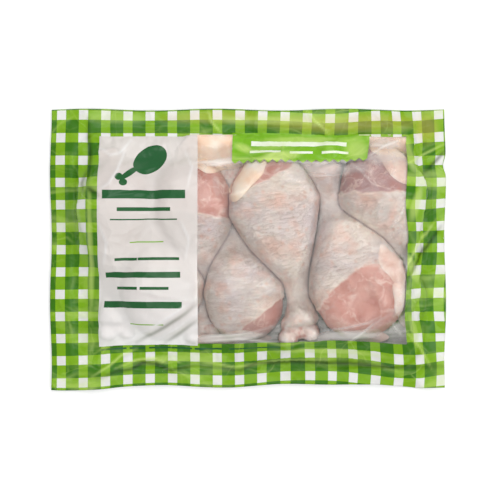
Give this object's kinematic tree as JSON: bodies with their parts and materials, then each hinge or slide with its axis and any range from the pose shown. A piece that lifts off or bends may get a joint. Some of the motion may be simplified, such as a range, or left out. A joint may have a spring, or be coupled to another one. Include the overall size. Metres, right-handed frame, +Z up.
{
  "type": "sealed pack of raw chicken drumsticks",
  "caption": "Flat film pack, welded all round, of raw chicken drumsticks laid head to tail, with a green checked border, a pale label and a clear window.",
  "frame": {"origin": "middle of the pack's outline, on the surface that the pack lies on", "axes": "+X along the pack, from the label to the far end; +Y across it, to the edge beside the banner; +Z up, out of the printed side"},
  "size_m": [0.3, 0.214, 0.0491],
  "materials": {
    "printed_film": "thin glossy film, printed in green checks with a translucent white label and a clear window",
    "chicken_skin": "moist raw skin, pale pinkish cream with fine creases and follicles",
    "chicken_meat": "moist raw flesh, dull pink with fine fibres",
    "chicken_joint": "wet cartilage and skin on the knuckle, cream with a pink tinge"
  },
  "bodies": {
    "root": {"sealed_pack": "printed_film"}
  },
  "joints": []
}
